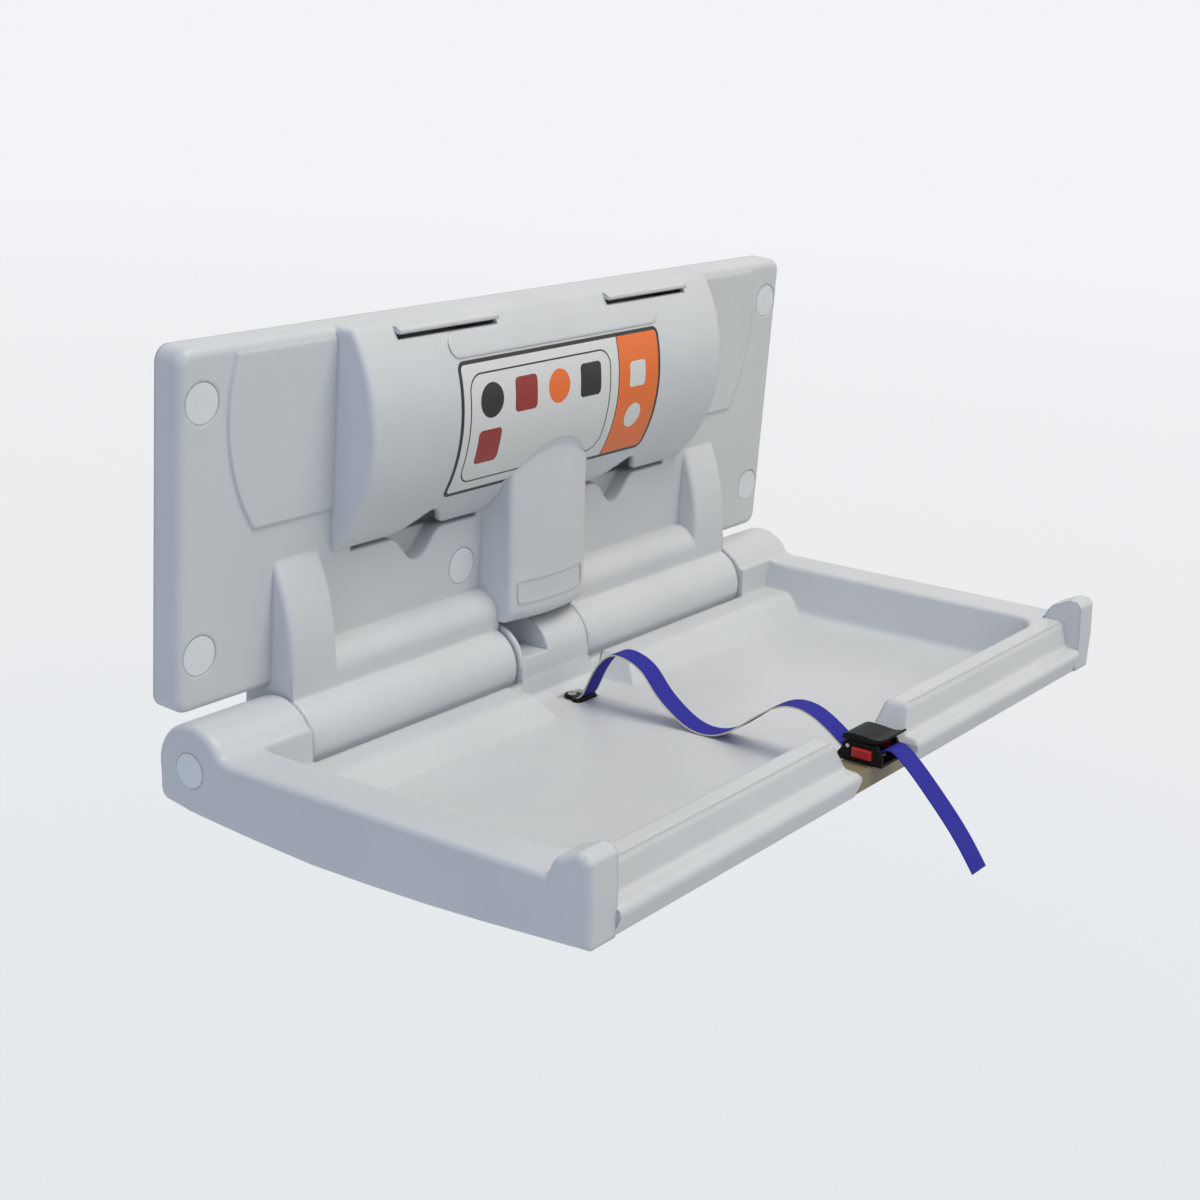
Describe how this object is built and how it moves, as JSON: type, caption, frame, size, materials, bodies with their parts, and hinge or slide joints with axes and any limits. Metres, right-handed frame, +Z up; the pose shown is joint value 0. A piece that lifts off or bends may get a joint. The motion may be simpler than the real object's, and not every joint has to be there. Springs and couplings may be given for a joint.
{
  "type": "baby changing station",
  "caption": "Wall-mounted folding baby changing station with a moulded tray bed, liner dispenser bulge, gas-damped hinge and safety strap.",
  "frame": {"origin": "centre of the four outer mounting bolt holes, on the wall plane", "axes": "+X along the wall to the viewer's right, +Y into the wall, +Z up"},
  "size_m": [0.897, 0.5728, 0.4225],
  "materials": {
    "shell": "fine satin",
    "cap": "satin",
    "label": "printed film",
    "steel": "satin",
    "zinc": "zinc plated",
    "cylinder_black": "semi-gloss black",
    "bush": "natural",
    "tan": "satin",
    "black": "satin",
    "webbing": "flat woven",
    "red": "moulded"
  },
  "bodies": {
    "wall_body": {"wall_plate": "shell", "plate_caps": "cap", "wall_rails": "zinc", "back_panels": "shell", "label_panel": "label", "hinge_rod": "steel", "gas_cylinder": "cylinder_black", "cylinder_gland": "steel", "spring_bracket": "zinc", "bracket_screws": "zinc", "spring_top_pin": "steel"},
    "bed_body": {"bed_tray": "shell", "knuckle_caps": "cap", "knuckle_bushes": "bush", "crank_pin": "steel", "mount_bar": "tan", "strap_anchor": "black", "anchor_screw": "zinc", "safety_strap": "webbing", "strap_tail": "webbing", "buckle_frame": "black", "buckle_screws": "zinc", "lever_pin": "steel"},
    "spring_rod_body": {"gas_rod": "steel", "gas_piston": "bush"},
    "lever_body": {"buckle_lever": "black"},
    "button_left_body": {"button_left": "red"},
    "button_right_body": {"button_right": "red"}
  },
  "joints": [
    {"name": "bed_fold", "type": "hinge", "parent": "wall_body", "child": "bed_body", "pos_m": [0, -0.0455, -0.2017], "axis": [-1, 0, 0], "range_deg": [0, 86.65], "deforming": ["safety_strap"]},
    {"name": "gas_rod_stroke", "type": "slide", "parent": "wall_body", "child": "spring_rod_body", "axis": [0, 0, -1], "range_m": [0, 0.0414]},
    {"name": "buckle_flip", "type": "hinge", "parent": "bed_body", "child": "lever_body", "pos_m": [0, -0.43607, -0.18284], "axis": [-1, 0, 0], "range_deg": [0, 60]},
    {"name": "button_press_left", "type": "slide", "parent": "bed_body", "child": "button_left_body", "axis": [1, 0, 0], "range_m": [0, 0.003], "stiffness_N_per_m": 400},
    {"name": "button_press_right", "type": "slide", "parent": "bed_body", "child": "button_right_body", "axis": [-1, 0, 0], "range_m": [0, 0.003], "stiffness_N_per_m": 400}
  ],
  "couplings": [
    {"joint": "gas_rod_stroke", "follows": "bed_fold", "m_per_rad": 0.027222}
  ]
}
